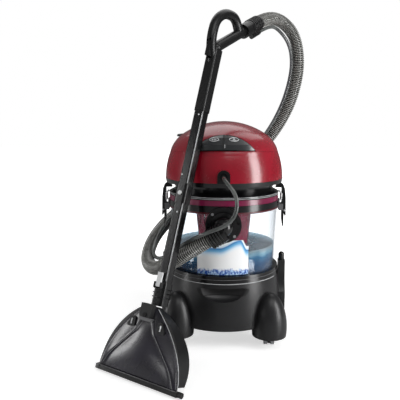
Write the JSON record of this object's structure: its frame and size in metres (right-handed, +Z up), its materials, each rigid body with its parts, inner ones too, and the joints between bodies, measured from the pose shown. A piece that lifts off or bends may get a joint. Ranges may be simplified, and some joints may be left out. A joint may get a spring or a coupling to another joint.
{
  "type": "carpet cleaner",
  "caption": "Wet carpet cleaner with a wheeled base, clear water tank, domed motor head, suction hose, and a spray wand with a wide floor nozzle.",
  "frame": {"origin": "on the floor, on the axis of the round tank", "axes": "+Z up along the tank's axis, -Y out of the front with the keys and the hose inlet, +X to the viewer's right when facing the front"},
  "size_m": [0.5469, 0.6686, 0.8978],
  "materials": {
    "accessory_pegs": "gloss",
    "base_floor_plate": "satin",
    "base_shell": "satin",
    "carry_handle": "satin",
    "caster_fork_front_left": "satin",
    "caster_fork_front_right": "satin",
    "caster_fork_rear_left": "satin",
    "caster_fork_rear_right": "satin",
    "caster_wheel_front_left": "satin",
    "caster_wheel_front_right": "satin",
    "caster_wheel_rear_left": "satin",
    "caster_wheel_rear_right": "satin",
    "dome_cover": "gloss",
    "exhaust_filter": "felt",
    "fan_housing": "cast",
    "float_ball": "satin",
    "float_cage": "satin",
    "handle_cuff": "satin",
    "head_gasket": "matt",
    "head_pan": "gloss",
    "head_skirt": "gloss",
    "hose_cuff": "gloss",
    "hose_lock_ring": "gloss",
    "inlet_duct": "satin",
    "inlet_flange": "gloss",
    "inlet_screws": "satin",
    "key_tray": "satin",
    "latch_brackets": "satin",
    "latch_left": "gloss",
    "latch_right": "gloss",
    "mains_gland": "matt",
    "motor_can": "satin",
    "motor_rotor": "satin",
    "nozzle_back": "satin",
    "nozzle_clip": "gloss",
    "nozzle_front": "smoke tint",
    "nozzle_lip": "satin",
    "nozzle_neck": "gloss",
    "power_key": "gloss",
    "pump_body": "satin",
    "pump_key": "gloss",
    "seat_ring": "gloss",
    "separator_basket": "translucent",
    "separator_rim": "gloss",
    "spray_jet": "satin",
    "spray_plug": "gloss",
    "spray_socket": "satin",
    "spray_trigger": "gloss",
    "spray_tube": "translucent",
    "suction_hose": "ribbed",
    "switch_board": "satin",
    "tank_collar": "gloss",
    "tank_label": "printed",
    "tank_shell": "clear",
    "trim_ring": "gloss",
    "wand_button": "gloss",
    "wand_handle": "satin",
    "wand_sleeve": "gloss",
    "wand_tube_lower": "gloss",
    "wand_tube_upper": "gloss"
  },
  "bodies": {
    "machine": {"accessory_pegs": "accessory_pegs", "base_floor_plate": "base_floor_plate", "base_shell": "base_shell", "dome_cover": "dome_cover", "exhaust_filter": "exhaust_filter", "fan_housing": "fan_housing", "float_cage": "float_cage", "handle_cuff": "handle_cuff", "head_gasket": "head_gasket", "head_pan": "head_pan", "head_skirt": "head_skirt", "hose_cuff": "hose_cuff", "inlet_duct": "inlet_duct", "inlet_flange": "inlet_flange", "inlet_screws": "inlet_screws", "key_tray": "key_tray", "latch_brackets": "latch_brackets", "mains_gland": "mains_gland", "motor_can": "motor_can", "nozzle_back": "nozzle_back", "nozzle_front": "nozzle_front", "nozzle_lip": "nozzle_lip", "nozzle_neck": "nozzle_neck", "pump_body": "pump_body", "seat_ring": "seat_ring", "separator_basket": "separator_basket", "separator_rim": "separator_rim", "spray_jet": "spray_jet", "spray_plug": "spray_plug", "spray_socket": "spray_socket", "spray_tube": "spray_tube", "suction_hose": "suction_hose", "switch_board": "switch_board", "tank_collar": "tank_collar", "tank_label": "tank_label", "tank_shell": "tank_shell", "trim_ring": "trim_ring", "wand_handle": "wand_handle", "wand_sleeve": "wand_sleeve", "wand_tube_lower": "wand_tube_lower", "wand_tube_upper": "wand_tube_upper"},
    "float_ball": {"float_ball": "float_ball"},
    "hose_lock_ring": {"hose_lock_ring": "hose_lock_ring"},
    "latch_left": {"latch_left": "latch_left"},
    "latch_right": {"latch_right": "latch_right"},
    "power_key": {"power_key": "power_key"},
    "pump_key": {"pump_key": "pump_key"},
    "motor_rotor": {"motor_rotor": "motor_rotor"},
    "carry_handle": {"carry_handle": "carry_handle"},
    "spray_trigger": {"spray_trigger": "spray_trigger"},
    "wand_button": {"wand_button": "wand_button"},
    "nozzle_clip": {"nozzle_clip": "nozzle_clip"},
    "fork_front_left": {"caster_fork_front_left": "caster_fork_front_left"},
    "wheel_front_left": {"caster_wheel_front_left": "caster_wheel_front_left"},
    "fork_front_right": {"caster_fork_front_right": "caster_fork_front_right"},
    "wheel_front_right": {"caster_wheel_front_right": "caster_wheel_front_right"},
    "fork_rear_left": {"caster_fork_rear_left": "caster_fork_rear_left"},
    "wheel_rear_left": {"caster_wheel_rear_left": "caster_wheel_rear_left"},
    "fork_rear_right": {"caster_fork_rear_right": "caster_fork_rear_right"},
    "wheel_rear_right": {"caster_wheel_rear_right": "caster_wheel_rear_right"}
  },
  "joints": [
    {"name": "swivel_front_left", "type": "hinge", "parent": "machine", "child": "fork_front_left", "pos_m": [-0.122, -0.11, 0.06], "axis": [0, 0, 1], "continuous": true},
    {"name": "roll_front_left", "type": "hinge", "parent": "fork_front_left", "child": "wheel_front_left", "pos_m": [-0.122, -0.1, 0.018], "axis": [1, 0, 0], "continuous": true},
    {"name": "swivel_front_right", "type": "hinge", "parent": "machine", "child": "fork_front_right", "pos_m": [0.122, -0.11, 0.06], "axis": [0, 0, 1], "continuous": true},
    {"name": "roll_front_right", "type": "hinge", "parent": "fork_front_right", "child": "wheel_front_right", "pos_m": [0.122, -0.1, 0.018], "axis": [1, 0, 0], "continuous": true},
    {"name": "swivel_rear_left", "type": "hinge", "parent": "machine", "child": "fork_rear_left", "pos_m": [-0.122, 0.11, 0.06], "axis": [0, 0, 1], "continuous": true},
    {"name": "roll_rear_left", "type": "hinge", "parent": "fork_rear_left", "child": "wheel_rear_left", "pos_m": [-0.122, 0.12, 0.018], "axis": [1, 0, 0], "continuous": true},
    {"name": "swivel_rear_right", "type": "hinge", "parent": "machine", "child": "fork_rear_right", "pos_m": [0.122, 0.11, 0.06], "axis": [0, 0, 1], "continuous": true},
    {"name": "roll_rear_right", "type": "hinge", "parent": "fork_rear_right", "child": "wheel_rear_right", "pos_m": [0.122, 0.12, 0.018], "axis": [1, 0, 0], "continuous": true},
    {"name": "latch_right_hinge", "type": "hinge", "parent": "machine", "child": "latch_right", "pos_m": [0.158, 0, 0.352], "axis": [0, 1, 0], "range_deg": [0, 14]},
    {"name": "latch_left_hinge", "type": "hinge", "parent": "machine", "child": "latch_left", "pos_m": [-0.158, 0, 0.352], "axis": [0, -1, 0], "range_deg": [0, 14]},
    {"name": "power_key_rock", "type": "hinge", "parent": "machine", "child": "power_key", "pos_m": [-0.024, -0.101, 0.547], "axis": [1, 0, 0], "range_deg": [0, 2.5], "stiffness_Nm_per_rad": 1, "springref_deg": -2.86},
    {"name": "pump_key_rock", "type": "hinge", "parent": "machine", "child": "pump_key", "pos_m": [0.024, -0.101, 0.547], "axis": [1, 0, 0], "range_deg": [0, 2.5], "stiffness_Nm_per_rad": 1, "springref_deg": -2.86},
    {"name": "carry_handle_lift", "type": "hinge", "parent": "machine", "child": "carry_handle", "pos_m": [0, 0.03, 0.546], "axis": [1, 0, 0], "range_deg": [0, 95]},
    {"name": "trigger_squeeze", "type": "hinge", "parent": "machine", "child": "spray_trigger", "pos_m": [-0.03536, -0.08486, 0.78351], "axis": [0.8339, -0.5519, 0], "range_deg": [0, 8], "stiffness_Nm_per_rad": 0.3, "springref_deg": -2.86},
    {"name": "button_press", "type": "slide", "parent": "machine", "child": "wand_button", "axis": [0.5166, 0.7806, -0.3518], "range_m": [0, 0.0025], "stiffness_N_per_m": 200, "springref_m": -0.001},
    {"name": "clip_open", "type": "hinge", "parent": "machine", "child": "nozzle_clip", "pos_m": [-0.15143, -0.26023, 0.20981], "axis": [0.8339, -0.5519, 0], "range_deg": [0, 30], "stiffness_Nm_per_rad": 0.1, "springref_deg": -2.86},
    {"name": "lock_ring_turn", "type": "hinge", "parent": "machine", "child": "hose_lock_ring", "pos_m": [0, -0.164, 0.332], "axis": [0, 1, 0], "range_deg": [0, 25]},
    {"name": "float_rise", "type": "slide", "parent": "machine", "child": "float_ball", "axis": [0, 0, 1], "range_m": [0, 0.034]},
    {"name": "rotor_spin", "type": "hinge", "parent": "machine", "child": "motor_rotor", "pos_m": [0, 0, 0.48], "axis": [0, 0, 1], "continuous": true}
  ]
}
